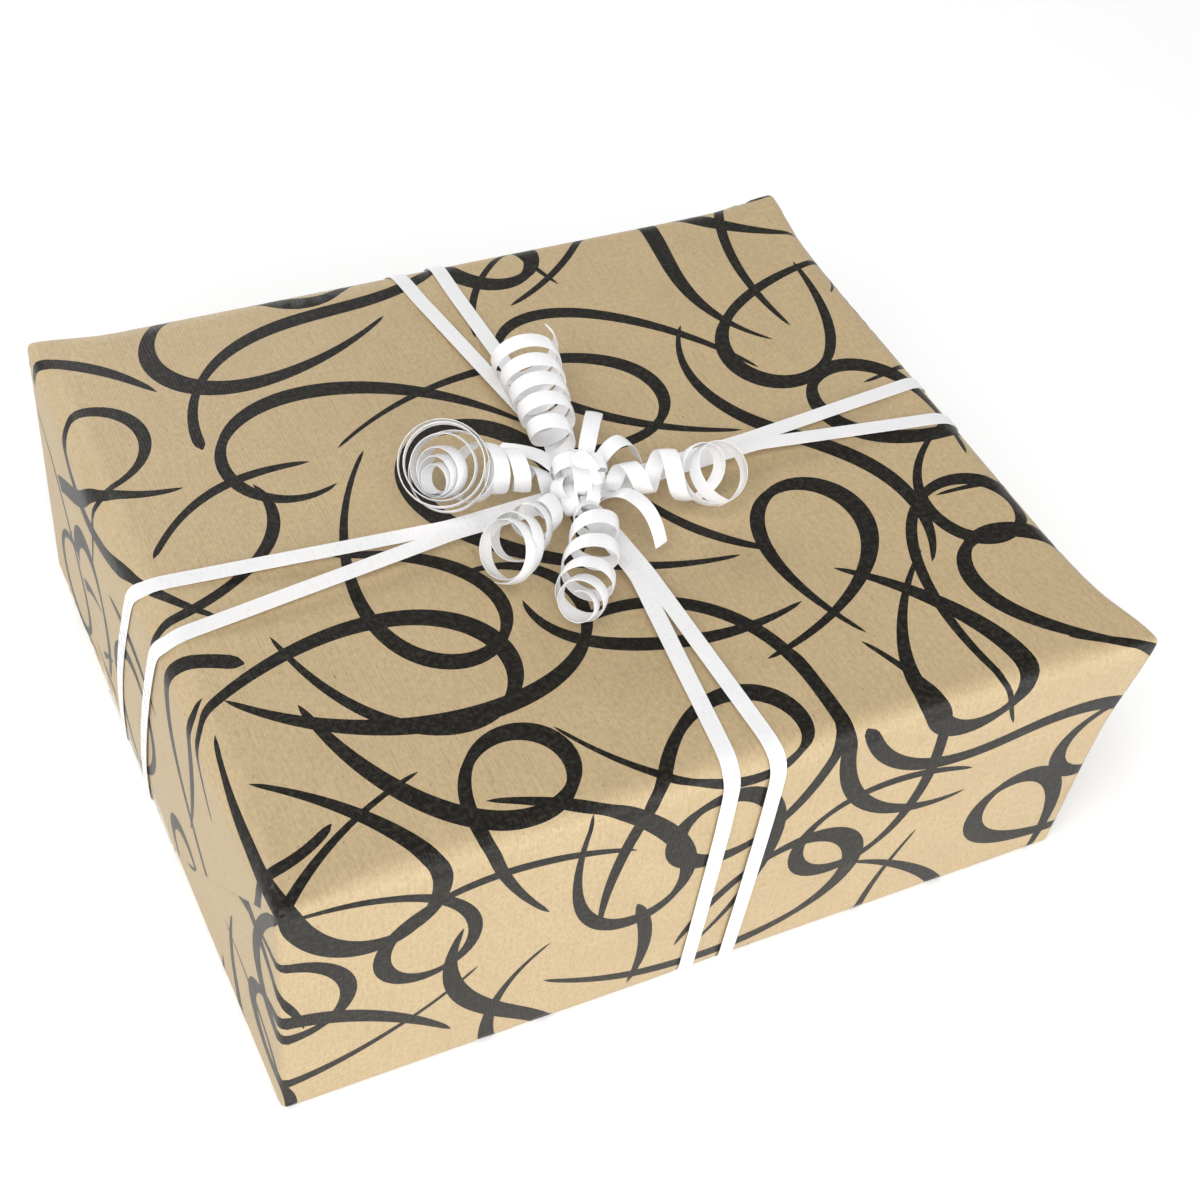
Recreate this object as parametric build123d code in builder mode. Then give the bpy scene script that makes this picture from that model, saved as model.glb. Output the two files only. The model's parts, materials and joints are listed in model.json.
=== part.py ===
"""A gift parcel: a lift-off-lid carton, wrapped in one sheet of paper and tied both ways with curling ribbon.

Frame: +X along the parcel's long side, +Y to its back, +Z up, origin on the ground under its centre.
Lengths are in millimetres.
"""

from build123d import *
from math import sqrt
import os

# ---- Parcel, measured over the paper ----
parcel_length = 260.0
parcel_depth = 224.0
parcel_height = 96.0
top_edge_radius = 6.0

# ---- Wrapping sheet ----
paper_thick = 0.2
end_layers = 2
tape_width = 19.0
tape_thick = 0.1
tape_up_end = 14.0
tape_length = 66.0
left_tape_centre_y = 18.0
seam_tape_pitch = 80.0
seam_y = 12.0

# ---- Carton ----
board_thick = 1.5
paper_gap = 0.3
lid_play = 0.5
lid_skirt = 35.0

# ---- Ribbon ----
ribbon_width = 5.0
ribbon_thick = 0.2
strand_gap = 0.2
fold_radius = 0.02
straight_radii = 1.5
tail_thick = 0.3

# Where each strand folds over a top edge, from the parcel's middle: (one end, the other end)
long_strand_folds = {"rear": (2.6, 8.7), "front": (-18.9, -10.4)}
short_strand_folds = {"left": (-5.0, -11.0), "right": (9.0, 3.0)}

# Where the two strands of a side come together, in plan
gather_left = (-42.0, -9.0)
gather_right = (60.0, -3.0)
gather_front = (0.0, -43.0)
gather_back = (0.0, 16.0)

# ---- Knot ----
knot_x = -3.0
knot_y = -9.0
knot_length_margin = 2.0
knot_depth_margin = 1.0
knot_height = 8.0
knot_radius = 2.0
strand_rise = 5.5

# ---- Tails ----
tail_gap = 0.5
tail_pinch = 1.6
pinch_length = 4.0
coil_wall = 0.4

# ---- Worked out from the sizes above ----
half_length = parcel_length / 2
half_depth = parcel_depth / 2
paper_bottom = 2 * ribbon_thick + tape_thick
paper_top = paper_bottom + parcel_height
middle_height = (paper_bottom + paper_top) / 2
cavity_length = parcel_length - 2 * end_layers * paper_thick
cavity_depth = parcel_depth - 2 * paper_thick
cavity_floor = paper_bottom + paper_thick
# the knot takes in both strands of either way, side by side
knot_length = 2 * ribbon_width + knot_length_margin
knot_depth = 2 * ribbon_width + knot_depth_margin
knot_left = knot_x - knot_length / 2
knot_right = knot_x + knot_length / 2
knot_front = knot_y - knot_depth / 2
knot_back = knot_y + knot_depth / 2
strand_step = (ribbon_width + strand_gap) / 2

os.makedirs("parts", exist_ok=True)


def save(builder, name):
    """Label a finished piece and write it to its own file."""
    builder.part.label = name
    export_step(builder.part, f"parts/{name}.step")


# ======================= Carton =======================
lid_length = cavity_length - 2 * paper_gap
lid_depth = cavity_depth - 2 * paper_gap
lid_top = paper_top - paper_thick - paper_gap
lid_radius = top_edge_radius - paper_thick - paper_gap

with BuildPart() as carton_lid:
    with BuildSketch(Plane.XY.offset(lid_top - lid_skirt)):
        Rectangle(lid_length, lid_depth)
    extrude(amount=lid_skirt)
    fillet(carton_lid.faces().sort_by(Axis.Z)[-1].edges(), radius=lid_radius)
    lid_mouth = carton_lid.faces().sort_by(Axis.Z)[0]
    offset(amount=-board_thick, openings=lid_mouth)
save(carton_lid, "carton_lid")

tray_length = lid_length - 2 * board_thick - 2 * lid_play
tray_depth = lid_depth - 2 * board_thick - 2 * lid_play
# the lid's rounded inside comes down on the tray's rim, a little below the ceiling
lid_inner_radius = lid_radius - board_thick
rim_drop = lid_inner_radius - sqrt(lid_inner_radius**2 - (lid_inner_radius - lid_play) ** 2)
tray_height = lid_top - board_thick - rim_drop - cavity_floor
tray_radius = 2 * board_thick

with BuildPart() as carton_tray:
    with BuildSketch(Plane.XY.offset(cavity_floor)):
        RectangleRounded(tray_length, tray_depth, tray_radius)
    extrude(amount=tray_height)
    tray_mouth = carton_tray.faces().sort_by(Axis.Z)[-1]
    offset(amount=-board_thick, openings=tray_mouth)
save(carton_tray, "carton_tray")

# ======================= Wrapping sheet =======================
with BuildPart() as cavity:
    with BuildSketch(Plane.XY.offset(cavity_floor)):
        Rectangle(cavity_length, cavity_depth)
    extrude(amount=parcel_height - 2 * paper_thick)
    fillet(cavity.faces().sort_by(Axis.Z)[-1].edges(), radius=top_edge_radius - paper_thick)

# A closed shell: the sheet is one layer thick all round, and two where it is folded in at the ends.
with BuildPart() as wrapping_paper:
    with BuildSketch(Plane.XY.offset(paper_bottom)):
        Rectangle(parcel_length, parcel_depth)
    extrude(amount=parcel_height)
    fillet(wrapping_paper.faces().sort_by(Axis.Z)[-1].edges(), radius=top_edge_radius)
    add(cavity.part, mode=Mode.SUBTRACT)
    # The top flap is the outermost layer at each end. It narrows at 45 degrees from the top corners,
    # and the side flaps show beside it, one layer further in.
    for end in (-1, 1):
        flap_face = Plane(origin=(end * half_length, 0, paper_bottom), x_dir=(0, 1, 0), z_dir=(end, 0, 0))
        crease_top = parcel_height - top_edge_radius
        with BuildSketch(flap_face):
            for side in (-1, 1):
                corner = side * half_depth
                inner = side * (half_depth - crease_top)
                Polygon((corner, 0), (corner, end * crease_top), (inner, 0), align=None)
        extrude(amount=-paper_thick, mode=Mode.SUBTRACT)
save(wrapping_paper, "wrapping_paper")

# ======================= Tape =======================
# A strip along the foot of each end, turned under the bottom edge
end_tapes = {"end_tape_left": (-1, left_tape_centre_y), "end_tape_right": (1, -left_tape_centre_y)}
tape_under = tape_width - tape_up_end

for name, (end, centre_y) in end_tapes.items():
    with BuildPart() as end_tape:
        inner_x = end * half_length
        outer_x = end * (half_length + tape_thick)
        under_x = end * (half_length - tape_under)
        with BuildSketch(Plane.XZ.offset(-centre_y - tape_length / 2)):
            Polygon(
                (inner_x, paper_bottom + tape_up_end),
                (outer_x, paper_bottom + tape_up_end),
                (outer_x, paper_bottom - tape_thick),
                (under_x, paper_bottom - tape_thick),
                (under_x, paper_bottom),
                (inner_x, paper_bottom),
                align=None,
            )
        extrude(amount=tape_length)
    save(end_tape, name)

# Three strips across the seam underneath
for name, place in (("seam_tape_left", -1), ("seam_tape_middle", 0), ("seam_tape_right", 1)):
    with BuildPart() as seam_tape:
        with BuildSketch(Plane.XY.offset(paper_bottom)):
            with Locations((place * seam_tape_pitch, seam_y)):
                Rectangle(tape_width, tape_length)
        extrude(amount=-tape_thick)
    save(seam_tape, name)


# ======================= Ribbon round the parcel =======================
def belt_side(half_width, low, grow, near_knot, far_knot):
    """One side of a belt's section, from the knot round the parcel and back to the knot."""
    high = paper_top + grow
    return FilletPolyline(
        (near_knot, high + strand_rise),
        (-half_width - grow, high),
        (-half_width - grow, low - grow),
        (half_width + grow, low - grow),
        (half_width + grow, high),
        (far_knot, high + strand_rise),
        radius=(top_edge_radius + grow, fold_radius + grow, fold_radius + grow, top_edge_radius + grow),
    )


def band(route):
    """The outline of a ribbon's width laid along a route, square to the belt's own direction."""
    upper = [(along, across + ribbon_width / 2) for along, across in route]
    lower = [(along, across - ribbon_width / 2) for along, across in reversed(route)]
    return Polygon(*upper, *lower, align=None)


def strand(name, turned, half_width, low, folds, knot_faces, gathers, across_knot):
    """A taut strand: up from the ground side, over both top edges, and in to the knot from either side.

    The plan of its run masks a belt that fits the parcel's outline, so it lies flat on every face.
    The plan runs square to the end until it is clear of the rounded edge.
    """
    first_fold, last_fold = folds
    reach = half_width + 2 * ribbon_thick
    straight = half_width - straight_radii * top_edge_radius
    plan = Plane.XY.offset(middle_height)
    side = Plane.XZ
    hand = 1
    if turned:
        plan = Plane(origin=(0, 0, middle_height), x_dir=(0, 1, 0), z_dir=(0, 0, 1))
        side = Plane.YZ
        # on the turned plan, +Y of the sketch is -X of the parcel
        hand = -1
    first = [(-reach, hand * first_fold), (-straight, hand * first_fold)]
    first += [(gathers[0][0], hand * gathers[0][1]), (knot_faces[0], hand * across_knot)]
    last = [(knot_faces[1], hand * across_knot), (gathers[1][0], hand * gathers[1][1])]
    last += [(straight, hand * last_fold), (reach, hand * last_fold)]
    beneath = [first[0], first[1], last[2], last[3]]
    with BuildPart() as piece:
        with BuildSketch(plan):
            band(first)
            band(last)
        extrude(amount=parcel_height)
        with BuildSketch(plan):
            band(beneath)
        extrude(amount=-parcel_height)
        with BuildSketch(side):
            with BuildLine():
                inner = belt_side(half_width, low, 0, *knot_faces)
                outer = belt_side(half_width, low, ribbon_thick, *knot_faces)
                Line(inner @ 0, outer @ 0)
                Line(inner @ 1, outer @ 1)
            make_face()
        extrude(amount=parcel_length, both=True, mode=Mode.INTERSECT)
    save(piece, name)


for name, sign in (("rear", 1), ("front", -1)):
    strand(
        f"ribbon_long_way_{name}",
        turned=False,
        half_width=half_length + tape_thick,
        low=paper_bottom - tape_thick,
        folds=long_strand_folds[name],
        knot_faces=(knot_left, knot_right),
        gathers=(
            (gather_left[0], gather_left[1] + sign * strand_step),
            (gather_right[0], gather_right[1] + sign * strand_step),
        ),
        across_knot=knot_y + sign * strand_step,
    )

for name, sign in (("left", -1), ("right", 1)):
    strand(
        f"ribbon_short_way_{name}",
        turned=True,
        half_width=half_depth,
        low=paper_bottom - tape_thick - ribbon_thick,
        folds=short_strand_folds[name],
        knot_faces=(knot_front, knot_back),
        gathers=(
            (gather_front[1], gather_front[0] + sign * strand_step),
            (gather_back[1], gather_back[0] + sign * strand_step),
        ),
        across_knot=knot_x + sign * strand_step,
    )

# ======================= Knot =======================
with BuildPart() as knot:
    with BuildSketch(Plane.XY.offset(paper_top)):
        with Locations((knot_x, knot_y)):
            Rectangle(knot_length, knot_depth)
    extrude(amount=knot_height)
    fillet(knot.faces().sort_by(Axis.Z)[-1].edges(), radius=knot_radius)
save(knot, "knot")


# ======================= Tails =======================
def above_paper(place):
    """A place given by its plan and its height over the paper."""
    return Vector(place[0], place[1], paper_top + place[2])


def level_across(along):
    """The level direction square to a tail's own."""
    return Vector(0, 0, 1).cross(along).normalized()


def pinched_outline(length):
    """A ribbon's outline laid along X, drawn in to a narrow end where it leaves the knot."""
    return Polygon(
        (0, -tail_pinch / 2),
        (pinch_length, -ribbon_width / 2),
        (length, -ribbon_width / 2),
        (length, ribbon_width / 2),
        (pinch_length, ribbon_width / 2),
        (0, tail_pinch / 2),
        align=None,
    )


# Every curled tail: its place on the knot, then each run of curls in it, as the two ends of the run's
# middle line and the radius at each.
curled_tails = {
    "tail_back": (
        (knot_x - 2, knot_back + tail_gap, 7.2),
        [((-1.5, 13, 13.2), (3, 50, 16.2), 7.0, 12.0)],
    ),
    "tail_left": (
        (knot_left - tail_gap, knot_y + 3, 7.2),
        [
            ((-19, -1, 13.0), (-33, 1.5, 14.6), 6.0, 8.6),
            ((-39.2, 4.9, 15.1), (-40.8, 2.1, 18.9), 14.0, 14.0),
        ],
    ),
    "tail_right": (
        (knot_right + tail_gap, knot_y - 1, 7.2),
        [((16, -13.5, 12.5), (38, -21, 12.2), 5.5, 10.0)],
    ),
    "tail_front_left": (
        (knot_left - tail_gap, knot_y - 3, 7.2),
        [
            ((-17, -18.5, 12.2), (-27.5, -24, 12.5), 4.5, 6.5),
            ((-33.2, -27.1, 10.1), (-34.8, -29.9, 13.9), 10.5, 10.5),
        ],
    ),
    "tail_front": (
        (knot_x - 1, knot_front - tail_gap, 7.2),
        [((-6, -27, 13.0), (-19, -51, 11.0), 6.5, 8.0)],
    ),
}

for name, (root, runs) in curled_tails.items():
    with BuildPart() as tail:
        for start, end, start_radius, end_radius in runs:
            start = above_paper(start)
            along = (above_paper(end) - start).normalized()
            length = (above_paper(end) - start).length
            with BuildSketch(Plane(origin=start, x_dir=along, z_dir=level_across(along))):
                Polygon(
                    (0, start_radius - coil_wall),
                    (length, end_radius - coil_wall),
                    (length, end_radius),
                    (0, start_radius),
                    align=None,
                )
            revolve(axis=Axis(start, along))
        # from the knot to the lowest part of the first curl
        start, end, start_radius, end_radius = runs[0]
        along = (above_paper(end) - above_paper(start)).normalized()
        curl_foot = above_paper(start) - along.cross(level_across(along)) * (start_radius - coil_wall / 2)
        lead = curl_foot - above_paper(root)
        across = level_across(lead.normalized())
        with BuildSketch(Plane(origin=above_paper(root), x_dir=lead, z_dir=lead.cross(across))):
            pinched_outline(lead.length)
        extrude(amount=tail_thick)
    save(tail, name)

# Short cut tails: their place on the knot and their tip
cut_tails = {
    "cut_tail_back": ((knot_right - 1, knot_back + tail_gap, 7.4), (14, 15, 11)),
    "cut_tail_right": ((knot_right + tail_gap, knot_y + 3, 7.4), (17, -3, 9)),
    "cut_tail_front": ((knot_right - 1, knot_front - tail_gap, 7.2), (10, -31, 7.0)),
}

for name, (root, tip) in cut_tails.items():
    lead = above_paper(tip) - above_paper(root)
    across = level_across(lead.normalized())
    with BuildPart() as cut_tail:
        with BuildSketch(Plane(origin=above_paper(root), x_dir=lead, z_dir=lead.cross(across))):
            pinched_outline(lead.length)
        extrude(amount=tail_thick)
    save(cut_tail, name)
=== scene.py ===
"""Looks of a gift parcel: printed kraft paper, clear tape, taut ribbon, a knot and curled tails."""

import json
import math
import random

import bpy
import numpy as np
from bpy.props import FloatProperty, FloatVectorProperty, IntProperty, PointerProperty
from mathutils import Matrix, Vector, noise
from mathutils.geometry import delaunay_2d_cdt

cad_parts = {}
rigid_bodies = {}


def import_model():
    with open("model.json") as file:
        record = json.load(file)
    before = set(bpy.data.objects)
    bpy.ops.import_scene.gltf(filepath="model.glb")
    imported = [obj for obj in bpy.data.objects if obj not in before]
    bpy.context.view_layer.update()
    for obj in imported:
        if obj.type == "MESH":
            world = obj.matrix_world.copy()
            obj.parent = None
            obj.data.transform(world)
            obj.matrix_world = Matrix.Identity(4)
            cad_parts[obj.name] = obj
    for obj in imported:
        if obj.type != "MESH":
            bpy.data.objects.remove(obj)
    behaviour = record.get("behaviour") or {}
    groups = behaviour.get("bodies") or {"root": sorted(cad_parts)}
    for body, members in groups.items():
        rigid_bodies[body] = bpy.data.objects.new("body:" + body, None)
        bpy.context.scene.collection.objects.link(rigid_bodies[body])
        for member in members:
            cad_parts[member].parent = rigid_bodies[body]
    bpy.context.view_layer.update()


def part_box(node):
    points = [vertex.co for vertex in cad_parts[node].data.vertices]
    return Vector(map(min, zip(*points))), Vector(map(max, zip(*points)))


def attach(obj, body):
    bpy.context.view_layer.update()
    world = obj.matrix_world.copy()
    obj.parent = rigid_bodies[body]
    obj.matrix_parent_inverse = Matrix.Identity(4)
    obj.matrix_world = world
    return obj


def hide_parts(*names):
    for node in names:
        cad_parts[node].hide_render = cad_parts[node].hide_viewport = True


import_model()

bl_info = {
    "name": "Gift Parcel",
    "version": (1, 0, 0),
    "blender": (4, 5, 0),
    "location": "View3D > Sidebar > Gift Parcel",
    "description": "Builds a wrapped parcel with printed paper and a curled ribbon bow on its packed frame",
    "category": "Object",
}

PAPER_LOW, PAPER_HIGH = (Vector(corner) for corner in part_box("wrapping_paper"))
MM = 0.001
LENGTH = PAPER_HIGH.x - PAPER_LOW.x
DEPTH = PAPER_HIGH.y - PAPER_LOW.y
HEIGHT = PAPER_HIGH.z - PAPER_LOW.z
MIDDLE = (PAPER_LOW + PAPER_HIGH) / 2
HALF = (PAPER_HIGH - PAPER_LOW) / 2
TOP = PAPER_HIGH.z
KNOT_LOW, KNOT_HIGH = (Vector(corner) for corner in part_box("knot"))

# The sheet: where its seam lies under the parcel, how far the side flaps reach in under the top
# flap and sink there, how far the top flap stops short of the foot, and what the flat sheet is
# given at each end for its flaps
SEAM_FROM_MIDDLE = 12 * MM
SIDE_TUCK = 10 * MM
TUCK_SINK = 0.35 * MM
FOOT_GAP = 0.6 * MM
# Room under the paper for the strands and the tape
UNDER_ROOM = 0.35 * MM
# Bare specks of paper smaller than this, between strokes, are inked
SMALLEST_BARE = 7 * MM * MM
# Size of the squares in which the strokes already laid are counted
COUNTING_SQUARE = 7 * MM
TAPE_LENGTH, TAPE_WIDTH = 66 * MM, 19 * MM


# ---------------------------------------------------------------- settings
class GiftPaperSettings(bpy.types.PropertyGroup):
    top_radius: FloatProperty(
        name="Top Edge Radius", description="How round the paper is over the top edges",
        default=7.0 * MM, unit="LENGTH",
    )
    low_radius: FloatProperty(
        name="Upright Edge Radius", description="How round the paper is at the upright and lower edges",
        default=2.2 * MM, unit="LENGTH",
    )
    end_bulge: FloatProperty(
        name="End Bulge", description="How far the folded ends stand out at their middle",
        default=2.2 * MM, unit="LENGTH",
    )
    flap_lift: FloatProperty(
        name="Flap Lift", description="How far the top flap stands over the side flaps",
        default=0.45 * MM, unit="LENGTH",
    )
    thickness: FloatProperty(
        name="Thickness", description="Thickness of the sheet", default=0.12 * MM, unit="LENGTH",
    )
    seam_overlap: FloatProperty(
        name="Seam Overlap", description="How far the sheet's edges overlap underneath",
        default=25 * MM, unit="LENGTH",
    )
    kraft_colour: FloatVectorProperty(
        name="Kraft Colour", description="Colour of the bare paper", subtype="COLOR",
        default=(0.45, 0.345, 0.20),
    )
    ink_colour: FloatVectorProperty(
        name="Ink Colour", description="Colour of the printed line", subtype="COLOR",
        default=(0.007, 0.0055, 0.004),
    )


class GiftPrintSettings(bpy.types.PropertyGroup):
    cell: FloatProperty(
        name="Pitch", description="Distance between neighbouring pen strokes", default=46 * MM, unit="LENGTH",
    )
    widest: FloatProperty(
        name="Widest Stroke", description="Half of the broadest stroke's width",
        default=3.3 * MM, unit="LENGTH",
    )
    tries: IntProperty(
        name="Tries", description="How many strokes are tried for each place on the sheet", default=26,
    )
    seed: IntProperty(name="Seed", description="Chooses another layout of strokes", default=11)


class GiftRibbonSettings(bpy.types.PropertyGroup):
    width: FloatProperty(name="Width", description="Width of the ribbon", default=5 * MM, unit="LENGTH")
    thickness: FloatProperty(
        name="Thickness", description="Thickness of the ribbon", default=0.14 * MM, unit="LENGTH",
    )
    rise: FloatProperty(
        name="Rise", description="How high the strands come at the knot", default=5.5 * MM, unit="LENGTH",
    )
    colour: FloatVectorProperty(
        name="Colour", description="Colour of the ribbon", subtype="COLOR", default=(0.85, 0.85, 0.86),
    )


class GiftStageSettings(bpy.types.PropertyGroup):
    floor_size: FloatProperty(name="Floor", description="Width of the floor", default=2.6, unit="LENGTH")
    focal_length: FloatProperty(
        name="Focal Length", description="The camera's lens", default=56.96, unit="CAMERA",
    )


SETTINGS = (
    ("gift_paper", GiftPaperSettings),
    ("gift_print", GiftPrintSettings),
    ("gift_ribbon", GiftRibbonSettings),
    ("gift_stage", GiftStageSettings),
)


# ---------------------------------------------------------------- small tools
def smooth(value, low, high):
    """0 below low, 1 above high, and an even curve between."""
    x = min(max((value - low) / (high - low), 0.0), 1.0)
    return x * x * (3 - 2 * x)


def millimetres(x, y, above_paper):
    """A place in metres from its plan in millimetres and its height over the paper's top."""
    return Vector((x * MM, y * MM, TOP + above_paper * MM))


def new_piece(name, mesh, materials):
    """A new object at the origin that shows the mesh in these materials."""
    obj = bpy.data.objects.new(name, mesh)
    bpy.context.collection.objects.link(obj)
    for material in materials:
        mesh.materials.append(material)
    return obj


def applied(obj):
    """Turns an object's modifiers into plain mesh."""
    bpy.context.view_layer.update()
    evaluated = obj.evaluated_get(bpy.context.evaluated_depsgraph_get())
    mesh = bpy.data.meshes.new_from_object(evaluated)
    old = obj.data
    obj.modifiers.clear()
    obj.data = mesh
    bpy.data.meshes.remove(old)
    mesh.name = obj.name
    return obj


def shade_smooth(obj, crisp=40.0):
    """Smooth shading, kept crisp where faces meet at more than this many degrees."""
    obj.data.polygons.foreach_set("use_smooth", [True] * len(obj.data.polygons))
    obj.data.set_sharp_from_angle(angle=math.radians(crisp))
    obj.data.update()


# ---------------------------------------------------------------- materials
class Shader:
    """A material under construction, with short ways to add and join its nodes."""

    def __init__(self, name):
        self.material = bpy.data.materials.new(name)
        self.material.use_nodes = True
        self.tree = self.material.node_tree
        self.surface = self.tree.nodes["Principled BSDF"]

    def node(self, kind, **values):
        made = self.tree.nodes.new(kind)
        for key, value in values.items():
            setattr(made, key, value)
        return made

    def join(self, out, into):
        self.tree.links.new(out, into)

    def uv(self):
        return self.node("ShaderNodeUVMap", uv_map="UVMap").outputs["UV"]

    def objects(self):
        return self.node("ShaderNodeTexCoord").outputs["Object"]

    def scaled(self, vector, scale):
        mapping = self.node("ShaderNodeMapping")
        mapping.inputs["Scale"].default_value = scale
        self.join(vector, mapping.inputs["Vector"])
        return mapping.outputs["Vector"]

    def noise(self, vector, scale, detail=3.0, roughness=0.55):
        made = self.node("ShaderNodeTexNoise")
        made.inputs["Scale"].default_value = scale
        made.inputs["Detail"].default_value = detail
        made.inputs["Roughness"].default_value = roughness
        self.join(vector, made.inputs["Vector"])
        return made.outputs["Fac"]

    def span(self, value, low, high, to_low=0.0, to_high=1.0):
        made = self.node("ShaderNodeMapRange")
        for key, number in (("From Min", low), ("From Max", high), ("To Min", to_low), ("To Max", to_high)):
            made.inputs[key].default_value = number
        self.join(value, made.inputs["Value"])
        return made.outputs["Result"]

    def blend(self, factor, first, second):
        """first where the factor is 0 and second where it is 1, each a colour or a socket."""
        made = self.node("ShaderNodeMix", data_type="RGBA")
        for name, value in (("Factor", factor), ("A", first), ("B", second)):
            socket = made.inputs[name]
            colour_socket = socket
            if socket.name in "AB":
                colour_socket = [s for s in made.inputs if s.name == socket.name and s.type == "RGBA"][0]
            if isinstance(value, bpy.types.NodeSocket):
                self.join(value, colour_socket)
            elif isinstance(value, float):
                colour_socket.default_value = value
            else:
                colour_socket.default_value = (*value, 1.0)
        return [s for s in made.outputs if s.type == "RGBA"][0]

    def sum(self, first, second, weight=1.0):
        """first plus second times weight."""
        made = self.node("ShaderNodeMath", operation="MULTIPLY_ADD")
        self.join(second, made.inputs[0])
        made.inputs[1].default_value = weight
        self.join(first, made.inputs[2])
        return made.outputs["Value"]

    def bump(self, height, strength, distance):
        made = self.node("ShaderNodeBump")
        made.inputs["Strength"].default_value = strength
        made.inputs["Distance"].default_value = distance
        self.join(height, made.inputs["Height"])
        self.join(made.outputs["Normal"], self.surface.inputs["Normal"])


def paper_relief(shader):
    """The paper's fine ribs and fibres, as one height."""
    uv = shader.uv()
    ribs = shader.node("ShaderNodeTexWave", wave_type="BANDS", bands_direction="X")
    ribs.inputs["Scale"].default_value = 2 * math.pi / (20 * 1.05 * MM)
    ribs.inputs["Distortion"].default_value = 0.6
    ribs.inputs["Detail"].default_value = 1.0
    shader.join(uv, ribs.inputs["Vector"])
    streaks = shader.noise(shader.scaled(uv, (1100, 90, 1)), 1.0, 3.0)
    fibres = shader.noise(shader.scaled(uv, (420, 900, 1)), 1.0, 4.0)
    relief = shader.sum(streaks, ribs.outputs["Fac"], 0.45)
    return uv, shader.sum(relief, fibres, 0.6), streaks


def kraft_material(colour):
    """Bare kraft paper: cloudy pulp, a fine grain, and short darker fibres."""
    shader = Shader("kraft_paper")
    uv, relief, streaks = paper_relief(shader)
    pulp = shader.noise(uv, 45.0, 5.0, 0.6)
    grain = shader.noise(shader.scaled(uv, (900, 560, 1)), 1.0, 5.0, 0.75)
    flecks = shader.noise(shader.scaled(uv, (1000, 620, 1)), 1.0, 2.0, 0.4)
    pale = tuple(min(c * 1.04, 1.0) for c in colour)
    dark = tuple(c * 0.95 for c in colour)
    tone = shader.blend(shader.span(pulp, 0.35, 0.65), dark, pale)
    grainy = tuple(c * share for c, share in zip(colour, (0.78, 0.74, 0.66)))
    tone = shader.blend(shader.span(grain, 0.40, 0.60, 0.0, 0.75), tone, grainy)
    tone = shader.blend(shader.span(streaks, 0.3, 0.7, 0.0, 0.30), tone, tuple(c * 1.25 for c in colour))
    tone = shader.blend(shader.span(flecks, 0.70, 0.76, 0.0, 0.6), tone, (0.17, 0.095, 0.04))
    shader.join(tone, shader.surface.inputs["Base Color"])
    shader.join(shader.span(streaks, 0.2, 0.8, 0.45, 0.58), shader.surface.inputs["Roughness"])
    shader.surface.inputs["Specular IOR Level"].default_value = 0.5
    shader.bump(relief, 0.35, 0.00012)
    return shader.material


def ink_material(colour):
    """Printed line: near black, thinner in blotches where the paper's grain took less ink."""
    shader = Shader("printed_ink")
    uv, relief, streaks = paper_relief(shader)
    blotches = shader.noise(shader.scaled(uv, (620, 620, 1)), 1.0, 4.0, 0.7)
    worn = shader.noise(shader.scaled(uv, (1500, 500, 1)), 1.0, 4.0, 0.7)
    tone = shader.blend(shader.span(blotches, 0.46, 0.66), colour, (0.030, 0.027, 0.020))
    tone = shader.blend(shader.span(worn, 0.60, 0.8, 0.0, 0.25), tone, (0.14, 0.11, 0.07))
    shader.join(tone, shader.surface.inputs["Base Color"])
    shader.join(shader.span(streaks, 0.2, 0.8, 0.36, 0.48), shader.surface.inputs["Roughness"])
    shader.surface.inputs["Specular IOR Level"].default_value = 0.28
    shader.bump(relief, 0.45, 0.00012)
    return shader.material


def ribbon_material(colour):
    """Drawn film: fine lines along the ribbon, a satin gloss and a little light through it."""
    shader = Shader("ribbon_film")
    uv = shader.uv()
    lines = shader.noise(shader.scaled(uv, (60, 5200, 1)), 1.0, 3.0, 0.6)
    cloud = shader.noise(shader.scaled(uv, (140, 260, 1)), 1.0, 2.0)
    tone = shader.blend(shader.span(lines, 0.3, 0.7, 0.0, 0.5), colour, tuple(c * 0.97 for c in colour))
    shader.join(tone, shader.surface.inputs["Base Color"])
    shader.join(shader.span(cloud, 0.3, 0.7, 0.24, 0.36), shader.surface.inputs["Roughness"])
    shader.surface.inputs["Subsurface Weight"].default_value = 0.25
    shader.surface.inputs["Subsurface Radius"].default_value = (0.002, 0.002, 0.002)
    shader.surface.inputs["Subsurface Scale"].default_value = 1.0
    shader.bump(lines, 0.05, 0.00002)
    return shader.material


def ribbon_film(ribbon):
    """The ribbon's material, made once."""
    return bpy.data.materials.get("ribbon_film") or ribbon_material(ribbon.colour)


def tape_material():
    """Clear film: faint, glossy, and a little milky where it holds down."""
    shader = Shader("clear_tape")
    uv = shader.uv()
    held = shader.noise(shader.scaled(uv, (1, 1, 1)), 130.0, 3.0)
    shader.surface.inputs["Base Color"].default_value = (0.93, 0.90, 0.82, 1.0)
    shader.join(shader.span(held, 0.35, 0.65, 0.10, 0.24), shader.surface.inputs["Alpha"])
    shader.join(shader.span(held, 0.3, 0.7, 0.10, 0.22), shader.surface.inputs["Roughness"])
    shader.bump(held, 0.15, 0.0002)
    return shader.material


def board_material():
    """Grey-brown carton board with a mottled pulp."""
    shader = Shader("carton_board")
    place = shader.objects()
    pulp = shader.noise(place, 180.0, 5.0, 0.65)
    tone = shader.blend(shader.span(pulp, 0.3, 0.7), (0.34, 0.27, 0.19), (0.46, 0.38, 0.28))
    shader.join(tone, shader.surface.inputs["Base Color"])
    shader.surface.inputs["Roughness"].default_value = 0.85
    shader.bump(pulp, 0.2, 0.0002)
    return shader.material


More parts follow.
